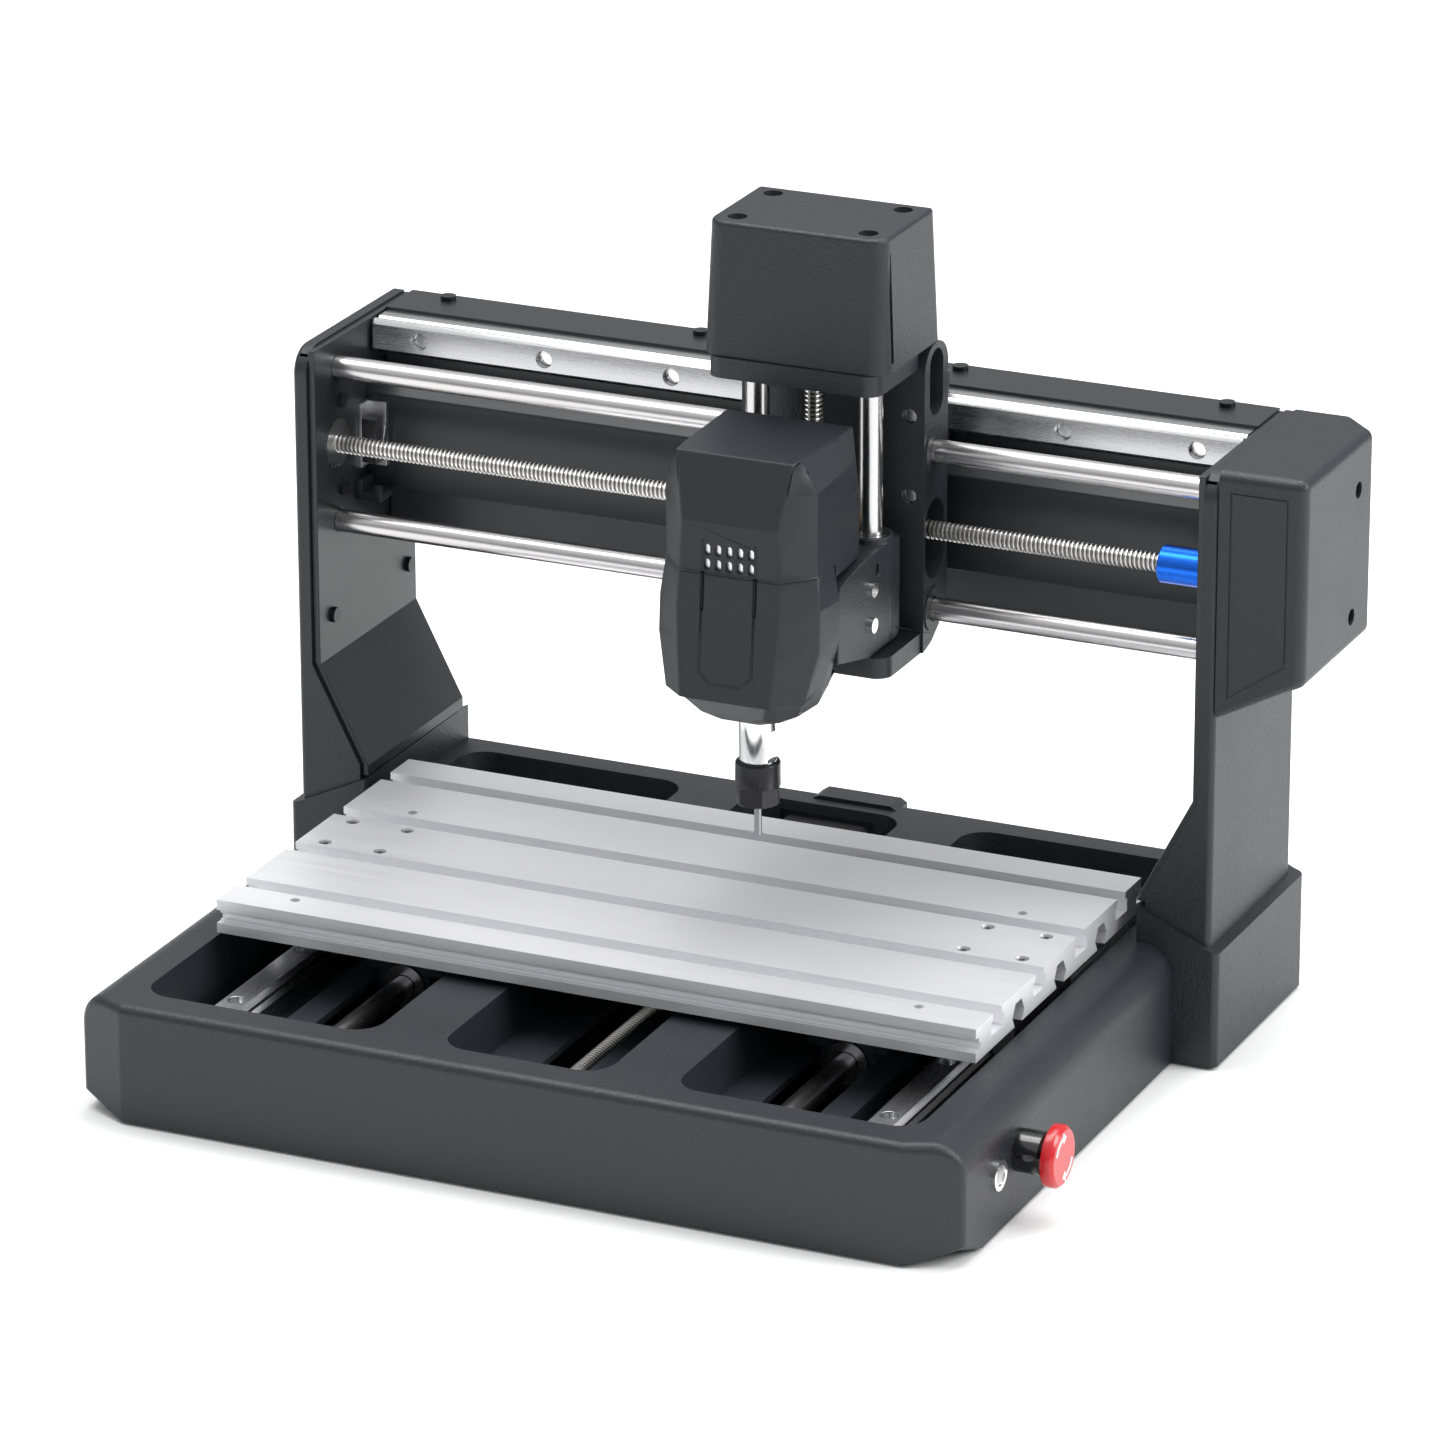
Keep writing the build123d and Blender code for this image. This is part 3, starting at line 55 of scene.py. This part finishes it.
class Link:
    # wraps an output socket so that shader maths reads as an expression
    def __init__(self, tree, socket):
        self.tree = tree
        self.socket = socket

    def maths(self, operation, *others):
        node = self.tree.nodes.new("ShaderNodeMath")
        node.operation = operation
        for place, value in enumerate(others):
            if isinstance(value, Link):
                self.tree.links.new(value.socket, node.inputs[place])
            else:
                node.inputs[place].default_value = value
        return Link(self.tree, node.outputs[0])

    def __add__(self, other): return self.maths("ADD", self, other)
    def __radd__(self, other): return self.maths("ADD", other, self)
    def __sub__(self, other): return self.maths("SUBTRACT", self, other)
    def __rsub__(self, other): return self.maths("SUBTRACT", other, self)
    def __mul__(self, other): return self.maths("MULTIPLY", self, other)
    def __rmul__(self, other): return self.maths("MULTIPLY", other, self)


class Finish:
    # one material; make() adds any node, the rest are short cuts
    def __init__(self, name, color, roughness, metallic=0.0, coat=0.0, coatRoughness=0.1, specular=0.5):
        self.material = bpy.data.materials.new(name)
        self.material.use_nodes = True
        self.material.diffuse_color = (*color, 1)
        self.tree = self.material.node_tree
        self.shader = self.tree.nodes["Principled BSDF"]
        self.color = color
        self.set("Base Color", (*color, 1))
        self.set("Roughness", roughness)
        self.set("Metallic", metallic)
        self.set("Coat Weight", coat)
        self.set("Coat Roughness", coatRoughness)
        self.set("Specular IOR Level", specular)

    def set(self, socket, value):
        if isinstance(value, Link):
            self.tree.links.new(value.socket, self.shader.inputs[socket])
        else:
            self.shader.inputs[socket].default_value = value

    def make(self, kind, settings=None, output=0, **inputs):
        node = self.tree.nodes.new(kind)
        for key, value in (settings or {}).items():
            setattr(node, key, value)
        for key, value in inputs.items():
            socket = node.inputs[int(key[1:])] if key[0] == "i" and key[1:].isdigit() else node.inputs[key]
            if isinstance(value, Link):
                self.tree.links.new(value.socket, socket)
            else:
                socket.default_value = value
        return Link(self.tree, node.outputs[output])

    def place(self, scale=(1, 1, 1), turn=(0, 0, 0), move=(0, 0, 0)):
        coords = self.make("ShaderNodeTexCoord", output="Object")
        return self.make("ShaderNodeMapping", Vector=coords, Scale=scale, Rotation=turn, Location=move)

    def noise(self, where, scale, detail=3.0, rough=0.5):
        return self.make("ShaderNodeTexNoise", Vector=where, Scale=scale, Detail=detail, Roughness=rough)

    def blend(self, mask, first, second):
        return self.make("ShaderNodeMix", {"data_type": "RGBA"}, output=2, i0=mask, i6=first, i7=second)

    def bump(self, height, strength, distance):
        self.set("Normal", self.make("ShaderNodeBump", Height=height, Strength=strength, Distance=distance))


def tint(color, by):
    return (*(min(1, max(0, c * by)) for c in color), 1)


def mouldedPlastic(name, color, roughness=0.5, grain=1600, depth=0.00012, strength=0.35, specular=0.45):
    # spark-eroded mould texture: fine cells, slightly uneven sheen
    finish = Finish(name, color, roughness, specular=specular)
    where = finish.place()
    cells = finish.noise(where, grain, 2.0, 0.6)
    soft = finish.noise(where, 28, 3.0)
    speck = finish.noise(where, grain * 0.45, 3.0, 0.7)
    finish.set("Base Color", finish.blend(soft * 0.5 + speck * 0.5, tint(color, 0.82), tint(color, 1.2)))
    finish.set("Roughness", roughness + (cells - 0.5) * 0.22 + (soft - 0.5) * 0.08)
    finish.bump(cells * 0.7 + speck * 0.3, strength, depth)
    return finish.material


def satinPaint(name, color, roughness=0.38, specular=0.5):
    finish = Finish(name, color, roughness, specular=specular)
    where = finish.place()
    orange = finish.noise(where, 700, 2.0, 0.5)
    soft = finish.noise(where, 18, 2.0)
    finish.set("Base Color", finish.blend(soft, tint(color, 0.9), tint(color, 1.12)))
    finish.set("Roughness", roughness + (soft - 0.5) * 0.1 + (orange - 0.5) * 0.06)
    finish.bump(orange, 0.12, 0.0001)
    return finish.material


def brushedMetal(name, color, roughness, along, fine=2600, streak=0.25, metallic=1.0, strength=0.12):
    # along: 0, 1 or 2, the axis the brushing follows
    finish = Finish(name, color, roughness, metallic)
    scale = [1.0, 1.0, 1.0]
    scale[along] = 0.012
    lines = finish.noise(finish.place(scale), fine, 4.0, 0.65)
    broad = finish.noise(finish.place(scale), fine / 9, 3.0, 0.6)
    cloud = finish.noise(finish.place(), 14, 3.0)
    mask = lines * 0.5 + broad * 0.3 + cloud * 0.2
    finish.set("Base Color", finish.blend(mask, tint(color, 1 - streak), tint(color, 1 + streak * 0.7)))
    finish.set("Roughness", roughness + (mask - 0.5) * 0.3)
    finish.bump(lines, strength, 0.00005)
    return finish.material


def polishedSteel(name, color, roughness, metallic=1.0):
    # ground or chromed rod: nearly a mirror, with a few faint marks
    finish = Finish(name, color, roughness, metallic)
    where = finish.place()
    cloud = finish.noise(where, 35, 3.0)
    marks = finish.noise(finish.place((1, 1, 1)), 900, 3.0, 0.7)
    finish.set("Base Color", finish.blend(cloud, tint(color, 0.93), tint(color, 1.04)))
    finish.set("Roughness", roughness + (cloud - 0.5) * 0.05 + (marks - 0.5) * 0.04)
    finish.bump(marks, 0.03, 0.00002)
    return finish.material


def threadSteel(name, color, roughness):
    # painted shade: the thread's roots are painted much darker and its crests a little lighter, so the thread stands
    # out
    finish = Finish(name, color, roughness, 1.0)
    crest = finish.make("ShaderNodeAttribute", {"attribute_name": "crest"}, output=2)
    cloud = finish.noise(finish.place(), 60, 3.0)
    finish.set("Base Color", finish.blend(crest, tint(color, 0.30), tint(color, 1.15)))
    finish.set("Roughness", roughness + (cloud - 0.5) * 0.12)
    finish.bump(cloud, 0.05, 0.00003)
    return finish.material


def glossPlastic(name, color, roughness=0.18, coat=0.6):
    finish = Finish(name, color, roughness, coat=coat, coatRoughness=0.06)
    where = finish.place()
    soft = finish.noise(where, 60, 3.0)
    fine = finish.noise(where, 1200, 2.0)
    finish.set("Base Color", finish.blend(soft, tint(color, 0.9), tint(color, 1.12)))
    finish.set("Roughness", roughness + (soft - 0.5) * 0.08)
    finish.bump(fine, 0.03, 0.00003)
    return finish.material


finishes = {
    "moulded": mouldedPlastic("mouldedCharcoal", (0.0115, 0.0142, 0.0185), 0.44, 900, 0.00045, 0.65, 0.5),
    "cover": mouldedPlastic("coverCharcoal", (0.0130, 0.0160, 0.0200), 0.46, 1800, 0.00012, 0.35, 0.42),
    "plate": satinPaint("satinPlate", (0.0150, 0.0170, 0.0205), 0.36),
    "beam": satinPaint("satinBeam", (0.0110, 0.0128, 0.0155), 0.34),
    "bed": brushedMetal("brushedBed", (0.88, 0.88, 0.90), 0.40, 0, 2600, 0.09, 0.72),
    "rod": polishedSteel("chromedRod", (0.62, 0.61, 0.61), 0.24),
    "rail": brushedMetal("groundRail", (0.58, 0.58, 0.59), 0.27, 0, 3200, 0.12),
    "railY": brushedMetal("groundRailY", (0.52, 0.52, 0.53), 0.27, 1, 3200, 0.12),
    "thread": threadSteel("rolledThreadRootShade", (0.80, 0.79, 0.76), 0.30),
    "blue": brushedMetal("blueAnodised", (0.02, 0.16, 0.80), 0.28, 0, 2600, 0.2),
    "cap": polishedSteel("capSteel", (0.80, 0.80, 0.80), 0.16),
    "blackSteel": polishedSteel("blackOxide", (0.022, 0.022, 0.025), 0.34, 0.6),
    "bearing": polishedSteel("bearingSteel", (0.45, 0.45, 0.46), 0.28),
    "seal": mouldedPlastic("sealBlack", (0.02, 0.021, 0.023), 0.45, 1200, 0.00005),
    "block": brushedMetal("slideBlock", (0.30, 0.30, 0.32), 0.35, 1, 2000, 0.15),
    "brass": brushedMetal("turnedBrass", (0.72, 0.50, 0.20), 0.3, 0, 2400, 0.15),
    "sheet": brushedMetal("zincSheet", (0.66, 0.66, 0.67), 0.35, 2, 2000, 0.15),
    "spring": polishedSteel("springSteel", (0.55, 0.55, 0.56), 0.24),
    "carbide": polishedSteel("groundCarbide", (0.32, 0.32, 0.34), 0.25),
    "gloss": glossPlastic("glossBlack", (0.006, 0.006, 0.007)),
    "red": glossPlastic("stopRed", (0.48, 0.006, 0.010), 0.30, 0.25),
    "paint": satinPaint("markWhite", (0.80, 0.78, 0.78), 0.5),
    "bright": brushedMetal("brightMesh", (0.85, 0.85, 0.86), 0.35, 2, 2400, 0.1, 0.8),
    "screw": polishedSteel("zincScrew", (0.52, 0.52, 0.54), 0.34),
    "ring": polishedSteel("chromeRing", (0.80, 0.80, 0.80), 0.08),
    "key": polishedSteel("keySteel", (0.55, 0.56, 0.58), 0.30),
    "switch": mouldedPlastic("switchBlack", (0.018, 0.018, 0.02), 0.4, 1500, 0.00004),
    "rubber": mouldedPlastic("feetRubber", (0.015, 0.015, 0.015), 0.8, 1100, 0.0002),
    "sheetBlack": satinPaint("darkSheet", (0.03, 0.03, 0.032), 0.55),
    "board": glossPlastic("circuitGreen", (0.01, 0.10, 0.04), 0.3, 0.3),
    "motor": satinPaint("motorBlack", (0.02, 0.02, 0.022), 0.4),
    "can": brushedMetal("platedCan", (0.85, 0.85, 0.86), 0.3, 2, 2000, 0.12, 0.7),
}
print("finishes made:", len(finishes))

nodeFinish = {
    "base_shell": "moulded", "base_plate": "sheetBlack", "rubber_feet": "rubber", "button_screws": "blackSteel",
    "axis_motors": "motor", "rail_screws": "cap", "y_rails": "railY", "y_rods": "rod", "end_bearings": "bearing",
    "leg_shell_left": "moulded", "leg_shell_right": "moulded", "leg_plates": "plate", "x_motor_cover": "moulded",
    "beam": "beam", "x_rail": "rail", "x_rods": "rod", "limit_bracket": "sheet", "limit_switch": "switch",
    "cable_hook": "moulded", "control_board": "board", "rear_ports": "sheet", "power_switch_frame": "gloss",
    "estop_collar": "gloss", "home_bezel": "ring", "y_lead_screw": "thread", "y_coupler": "blue",
    "x_lead_screw": "thread", "x_coupler": "blue", "bed_table": "bed", "table_screws": "screw",
    "y_rail_blocks": "block", "table_blocks": "moulded", "y_bearings": "bearing", "y_nut": "brass",
    "carriage_frame": "moulded", "carriage_screws": "cap", "carriage_bearings": "seal", "x_nut": "brass",
    "slider_plate": "moulded", "rail_slider": "block", "z_motor": "motor", "z_motor_housing": "moulded",
    "z_rods": "rod", "z_lead_screw": "thread", "z_coupler": "blue", "z_carriage": "moulded",
    "z_bearings": "bearing", "z_nut": "brass", "bracket_screws": "cap", "spindle_motor": "can",
    "spindle_cover": "cover", "spindle_shaft": "cap", "collet_nut": "blackSteel", "collet": "spring",
    "end_mill": "carbide", "estop_plunger": "gloss", "estop_head": "red", "home_button": "key",
    "limit_lever": "spring", "power_rocker": "gloss",
}
for name, finish in nodeFinish.items():
    mesh = nodes[name].data
    mesh.materials.clear()
    mesh.materials.append(bpy.data.materials[finishes[finish].name])


def soften(name, width, segments=2, angle=30):
    # breaks a CAD node's sharp edges, as a mould or a deburring tool leaves them
    thing = nodes[name]
    weld = thing.modifiers.new("weld", "WELD")
    weld.merge_threshold = 0.000004
    flat = thing.modifiers.new("flat", "DECIMATE")
    flat.decimate_type = "DISSOLVE"
    flat.angle_limit = math.radians(0.6)
    edge = thing.modifiers.new("edge", "BEVEL")
    edge.width = width / 1000
    edge.segments = segments
    edge.limit_method = "ANGLE"
    edge.angle_limit = math.radians(angle)
    edge.use_clamp_overlap = False
    edge.harden_normals = False


softened = {
    "spindle_cover": 0.8, "z_carriage": 0.6, "leg_plates": 0.4, "beam": 0.6,
    "x_rail": 0.2, "y_rails": 0.2, "collet_nut": 0.2, "estop_head": 0.4, "cable_hook": 0.4,
    "limit_bracket": 0.15, "limit_switch": 0.3, "slider_plate": 0.4, "rail_slider": 0.5, "table_blocks": 0.5,
    "spindle_shaft": 0.15,
}
for name, width in softened.items():
    soften(name, width)
print("edges softened")


def piece(name, shape, finish, body, *stands):
    # a finished bmesh becomes an object that rides on a body
    bmesh.ops.recalc_face_normals(shape, faces=shape.faces)
    mesh = bpy.data.meshes.new(name)
    shape.to_mesh(mesh)
    shape.free()
    thing = bpy.data.objects.new(name, mesh)
    mesh.materials.append(bpy.data.materials[finishes[finish].name])
    bpy.context.scene.collection.objects.link(thing)
    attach(thing, body)
    if stands:
        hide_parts(*stands)
    return thing


screwThread = {
    "radius": 4.0, "pitch": 2.0, "depth": 0.7, "steps": 20, "crest": 0.62, "root": 0.5, "flank": 0.34, "relief": 0.1,
    "runOut": 0.2, "plainEnd": 0.8, "coreGap": 0.02, "crestBand": 0.2,
}


def threadedRod(name, start, end, axis, radius, body, node):
    # a ridge with a trapezoidal profile, swept along a helix, and a plain core that overlaps its foot
    t = screwThread
    length = (end - start).length * 1000
    turns = int((length - 2 * t["plainEnd"]) / t["pitch"]) - 1
    inner = radius - t["depth"]
    rise = t["root"] + t["flank"]
    profile = [
        (inner - t["relief"], 0.0), (inner, t["root"]), (radius, rise), (radius, rise + t["crest"]),
        (inner, t["pitch"] - t["runOut"]),
    ]
    shape = bmesh.new()
    rings = []
    for step in range(turns * t["steps"] + 1):
        angle = math.tau * step / t["steps"]
        along = t["plainEnd"] + t["pitch"] * step / t["steps"]
        rings.append([
            shape.verts.new((r / 1000 * math.cos(angle), r / 1000 * math.sin(angle), (z + along) / 1000))
            for r, z in profile
        ])
    span = t["steps"]
    for i in range(len(rings) - 1):
        first, second = rings[i], rings[i + 1]
        for j in range(len(first) - 1):
            shape.faces.new((first[j], first[j + 1], second[j + 1], second[j]))
        if i + 1 + span < len(rings):
            shape.faces.new((first[-1], rings[i + span][0], rings[i + span + 1][0], second[-1]))
    smooth = (inner - t["coreGap"]) / 1000
    core = bmesh.ops.create_cone(
        shape, cap_ends=True, segments=32, radius1=smooth, radius2=smooth, depth=length / 1000,
    )["verts"]
    bmesh.ops.translate(shape, verts=core, vec=(0, 0, length / 2000))
    turned = Vector((0, 0, 1)).rotation_difference(axis).to_matrix().to_4x4()
    bmesh.ops.transform(shape, verts=shape.verts, matrix=Matrix.Translation(start) @ turned)
    rod = piece(name, shape, "thread", body, node)
    # the crest mark is 1 on the crests and 0 in the roots, where the thread material paints shade
    marks = rod.data.attributes.new("crest", "FLOAT", "POINT")
    for vert, mark in zip(rod.data.vertices, marks.data):
        offset = vert.co - start
        out = (offset - axis * offset.dot(axis)).length * 1000
        mark.value = 1.0 if out > radius - t["crestBand"] else 0.0
    return rod


for name, node, body, axis in (
    ("threadX", "x_lead_screw", "x_screw", Vector((1, 0, 0))),
    ("threadY", "y_lead_screw", "y_screw", Vector((0, 1, 0))),
    ("threadZ", "z_lead_screw", "z_screw", Vector((0, 0, 1))),
):
    low, high = (Vector(corner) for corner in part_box(node))
    middle = (low + high) / 2
    half = (high - low).dot(axis) / 2
    threadedRod(name, middle - axis * half, middle + axis * half, axis, screwThread["radius"], body, node)
print("lead screws cut")

vent = {
    "middle": 35.0, "columns": 5, "pitch": 4.9, "rows": (225.3, 231.6), "face": 62.9, "behind": 1.6,
    "width": 2.6, "thick": 0.4, "height": 4.6,
}


def ventMesh():
    # a bright plate behind each of the cover's slots
    shape = bmesh.new()
    for column in range(vent["columns"]):
        for z in vent["rows"]:
            x = vent["middle"] + (column - (vent["columns"] - 1) / 2) * vent["pitch"]
            place = Matrix.Translation(at(x, vent["face"] + vent["behind"], z))
            size = Matrix.Diagonal((vent["width"] / 1000, vent["thick"] / 1000, vent["height"] / 1000, 1))
            bmesh.ops.create_cube(shape, size=1, matrix=place @ size)
    return piece("ventMesh", shape, "bright", "spindle")


stopMark = {"radius": 8.6, "width": 1.5, "from": 20, "sweep": 62, "head": 2.6, "thick": 0.12}


def stopArrows():
    # two curved arrows on the stop button show which way it turns to let go
    low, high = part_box("estop_head")
    middle = (low + high) / 2 * 1000
    face = high.x * 1000
    mark = stopMark
    shape = bmesh.new()
    for start in (mark["from"], mark["from"] + 180):
        outer = []
        inner = []
        for i in range(13):
            angle = math.radians(start + mark["sweep"] * i / 12)
            outer.append((mark["radius"] + mark["width"] / 2, angle))
            inner.append((mark["radius"] - mark["width"] / 2, angle))
        tip = math.radians(start + mark["sweep"] + 20)
        end = math.radians(start + mark["sweep"])
        arrow = [(mark["radius"] + mark["head"], end), (mark["radius"], tip), (mark["radius"] - mark["head"], end)]
        loop = outer + arrow + inner[::-1]
        layers = []
        for x in (face - 0.3, face + mark["thick"]):
            layers.append([
                shape.verts.new((x / 1000, (middle.y - r * math.cos(a)) / 1000, (middle.z + r * math.sin(a)) / 1000))
                for r, a in loop
            ])
        shape.faces.new(layers[0])
        shape.faces.new(layers[1])
        for i in range(len(loop)):
            j = (i + 1) % len(loop)
            shape.faces.new((layers[0][i], layers[0][j], layers[1][j], layers[1][i]))
    return piece("stopArrows", shape, "paint", "stop_head")


ventMesh()
stopArrows()
print("vents and marks added")

studio = {
    "cameraAt": (1284.491, -2696.853, 1296.888), "azimuth": 24.412, "elevation": 20.606, "roll": -0.138,
    "lens": 196.83, "floor": (0.90, 0.90, 0.90),
}


def addCamera():
    az, el, roll = (math.radians(studio[k]) for k in ("azimuth", "elevation", "roll"))
    back = Vector((math.sin(az) * math.cos(el), -math.cos(az) * math.cos(el), math.sin(el)))
    right = Vector((0, 0, 1)).cross(back).normalized()
    up = back.cross(right)
    turnedRight = right * math.cos(roll) + up * math.sin(roll)
    turnedUp = up * math.cos(roll) - right * math.sin(roll)
    turn = Matrix((turnedRight, turnedUp, back)).transposed().to_4x4()
    data = bpy.data.cameras.new("camera")
    data.lens = studio["lens"]
    data.sensor_width = 36
    data.clip_end = 50
    camera = bpy.data.objects.new("camera", data)
    camera.matrix_world = Matrix.Translation(at(*studio["cameraAt"])) @ turn
    bpy.context.scene.collection.objects.link(camera)
    bpy.context.scene.camera = camera


def addLight(name, place, target, size, power, color=(1, 1, 1)):
    data = bpy.data.lights.new(name, "AREA")
    data.shape = "RECTANGLE"
    data.size, data.size_y = size
    data.energy = power
    data.color = color
    lamp = bpy.data.objects.new(name, data)
    place = Vector(place)
    aim = (Vector(target) - place).to_track_quat("-Z", "Y").to_matrix().to_4x4()
    lamp.matrix_world = Matrix.Translation(place) @ aim
    bpy.context.scene.collection.objects.link(lamp)


def addFloor():
    shape = bmesh.new()
    bmesh.ops.create_grid(shape, x_segments=1, y_segments=1, size=6)
    mesh = bpy.data.meshes.new("floor")
    shape.to_mesh(mesh)
    shape.free()
    floor = bpy.data.objects.new("floor", mesh)
    paint = Finish("floorPaint", studio["floor"], 0.9)
    mesh.materials.append(paint.material)
    bpy.context.scene.collection.objects.link(floor)


addCamera()
addFloor()
addLight("key", (-0.9, -0.2, 2.6), (0, 0.05, 0.1), (1.3, 1.3), 30)
addLight("fill", (2.6, 0.5, 1.7), (0, 0, 0.15), (1.3, 1.5), 62)
addLight("top", (0.2, 0.7, 2.6), (0, 0, 0), (2.0, 1.4), 42)
world = bpy.data.worlds.new("studioSky")
world.use_nodes = True
tree = world.node_tree
# white behind the object, and a softer sky that darkens towards the horizon for everything it lights
sky = tree.nodes.new("ShaderNodeValToRGB")
sky.color_ramp.elements[0].position = 0.0
sky.color_ramp.elements[0].color = (0.30, 0.31, 0.33, 1)
sky.color_ramp.elements[1].position = 0.75
sky.color_ramp.elements[1].color = (1, 1, 1, 1)
height = tree.nodes.new("ShaderNodeSeparateXYZ")
coords = tree.nodes.new("ShaderNodeTexCoord")
seen = tree.nodes.new("ShaderNodeLightPath")
choice = tree.nodes.new("ShaderNodeMix")
choice.data_type = "RGBA"
choice.inputs[7].default_value = (1.15, 1.15, 1.15, 1)
tree.links.new(coords.outputs["Generated"], height.inputs[0])
tree.links.new(height.outputs[2], sky.inputs[0])
tree.links.new(seen.outputs["Is Camera Ray"], choice.inputs[0])
tree.links.new(sky.outputs[0], choice.inputs[6])
tree.links.new(choice.outputs[2], tree.nodes["Background"].inputs["Color"])
tree.nodes["Background"].inputs["Strength"].default_value = 0.9
bpy.context.scene.world = world
bpy.context.scene.view_settings.view_transform = "Standard"
print("studio set")
